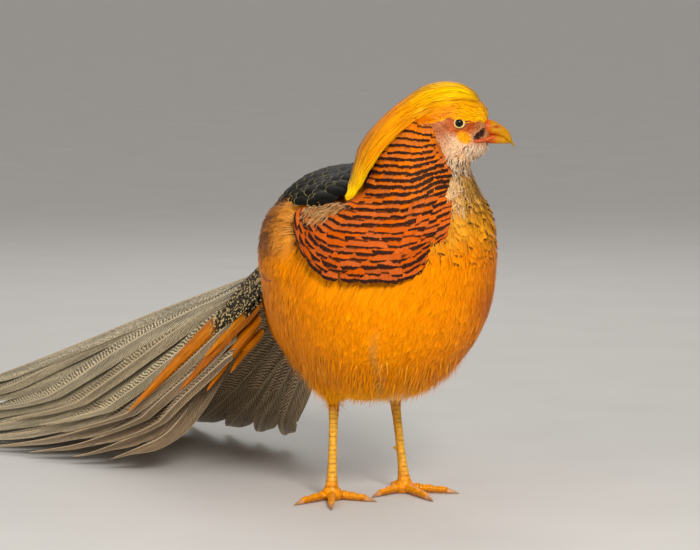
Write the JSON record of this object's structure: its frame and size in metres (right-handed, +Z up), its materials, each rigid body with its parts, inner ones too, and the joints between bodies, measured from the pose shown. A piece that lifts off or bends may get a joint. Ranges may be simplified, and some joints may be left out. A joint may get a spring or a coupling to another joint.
{
  "type": "golden pheasant",
  "caption": "Life-size still male golden pheasant, standing with its head turned to its left and its long tail resting on the floor.",
  "frame": {"origin": "middle of the underside of the bird's box, on the floor", "axes": "+Z up, the body faces -Y, its left side is +X, the tail runs back along +Y"},
  "size_m": [0.3142, 0.9128, 0.3364],
  "materials": {
    "body_plumage": "satin orange-yellow breast, belly and flank feathers",
    "face_plumage": "short pinkish buff face feathers with orange skin round the eye",
    "crest_plumage": "silky golden-yellow hair-like crest",
    "cape_plumage": "orange ruff feathers with blackish bars",
    "wing_plumage": "buff-brown wing feathers with dark inner feathers",
    "tail_plumage": "grey-buff tail feathers, finely vermiculated and barred",
    "leg_scales": "ochre-yellow scaled skin, slightly glossy",
    "claw_horn": "worn buff-brown horn",
    "bill_horn": "smooth ochre-yellow horn, reddish at the base",
    "eye_surface": "wet clear eye, pale cream-yellow iris, black pupil"
  },
  "bodies": {
    "root": {"head": "face_plumage", "neck": "body_plumage", "trunk": "body_plumage", "rump": "body_plumage", "cape": "cape_plumage", "crest": "crest_plumage", "thigh_right": "body_plumage", "wing_right": "wing_plumage", "shank_right": "leg_scales", "eye_right": "eye_surface", "toe_middle_right": "leg_scales", "claw_middle_right": "claw_horn", "toe_inner_right": "leg_scales", "claw_inner_right": "claw_horn", "toe_outer_right": "leg_scales", "claw_outer_right": "claw_horn", "toe_hallux_right": "leg_scales", "claw_hallux_right": "claw_horn", "rectrix_right_1": "tail_plumage", "rectrix_right_2": "tail_plumage", "rectrix_right_3": "tail_plumage", "rectrix_right_4": "tail_plumage", "rectrix_right_5": "tail_plumage", "rectrix_right_6": "tail_plumage", "rectrix_right_7": "tail_plumage", "rectrix_right_8": "tail_plumage", "rectrix_right_9": "tail_plumage", "thigh_left": "body_plumage", "wing_left": "wing_plumage", "shank_left": "leg_scales", "eye_left": "eye_surface", "toe_middle_left": "leg_scales", "claw_middle_left": "claw_horn", "toe_inner_left": "leg_scales", "claw_inner_left": "claw_horn", "toe_outer_left": "leg_scales", "claw_outer_left": "claw_horn", "toe_hallux_left": "leg_scales", "claw_hallux_left": "claw_horn", "rectrix_left_1": "tail_plumage", "rectrix_left_2": "tail_plumage", "rectrix_left_3": "tail_plumage", "rectrix_left_4": "tail_plumage", "rectrix_left_5": "tail_plumage", "rectrix_left_6": "tail_plumage", "rectrix_left_7": "tail_plumage", "rectrix_left_8": "tail_plumage", "rectrix_left_9": "tail_plumage", "bill_upper": "bill_horn", "bill_lower": "bill_horn"}
  },
  "joints": []
}
